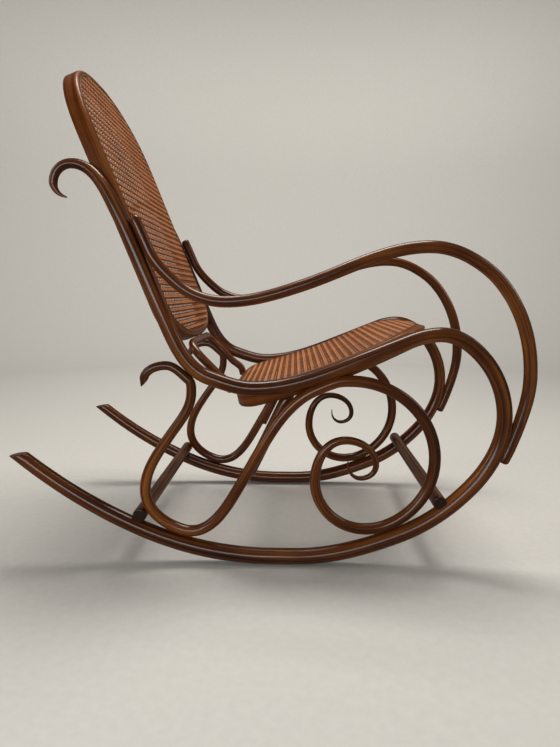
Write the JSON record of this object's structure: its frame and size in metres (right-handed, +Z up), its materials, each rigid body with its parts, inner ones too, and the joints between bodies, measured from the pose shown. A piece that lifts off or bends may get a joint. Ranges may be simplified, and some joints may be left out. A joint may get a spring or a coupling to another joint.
{
  "type": "bentwood rocking chair",
  "caption": "Rocking chair of steam-bent round rods: scrolled side frames on curved runners, looping arms, a caned seat and a caned oval back on bent frames.",
  "frame": {"origin": "on the floor, under the centre of the bounding box", "axes": "+X is the way the sitter faces, +Y is the sitter's left, +Z is up"},
  "size_m": [1.051, 0.5334, 1.0258],
  "materials": {
    "rod": "gloss varnish over dark stained beech",
    "ring": "gloss varnish over dark stained beech",
    "cane": "woven rattan cane, satin",
    "spline": "reed spline, satin",
    "steel": "dark oiled steel"
  },
  "bodies": {
    "root": {"back_frame": "ring", "back_spline": "spline", "back_cane": "cane", "seat_frame": "ring", "seat_spline": "spline", "seat_cane": "cane", "connecting_loop": "rod", "front_stretcher": "rod", "rear_stretcher": "rod", "right_side_rail": "rod", "right_arm": "rod", "right_scroll_bow": "rod", "right_scroll_loop": "rod", "right_strut": "rod", "right_arm_post_screw": "steel", "right_arm_loop_screw": "steel", "right_scroll_post_screw": "steel", "right_scroll_seat_screw": "steel", "right_scroll_rear_screw": "steel", "right_scroll_front_screw": "steel", "right_scroll_stretcher_screw": "steel", "right_front_stretcher_screw": "steel", "right_strut_screw": "steel", "right_back_screw": "steel", "right_seat_rear_screw": "steel", "right_seat_front_screw": "steel", "right_loop_seat_screw": "steel", "right_loop_back_screw": "steel", "left_side_rail": "rod", "left_arm": "rod", "left_scroll_bow": "rod", "left_scroll_loop": "rod", "left_strut": "rod", "left_arm_post_screw": "steel", "left_arm_loop_screw": "steel", "left_scroll_post_screw": "steel", "left_scroll_seat_screw": "steel", "left_scroll_rear_screw": "steel", "left_scroll_front_screw": "steel", "left_scroll_stretcher_screw": "steel", "left_front_stretcher_screw": "steel", "left_strut_screw": "steel", "left_back_screw": "steel", "left_seat_rear_screw": "steel", "left_seat_front_screw": "steel", "left_loop_seat_screw": "steel", "left_loop_back_screw": "steel"}
  },
  "joints": []
}
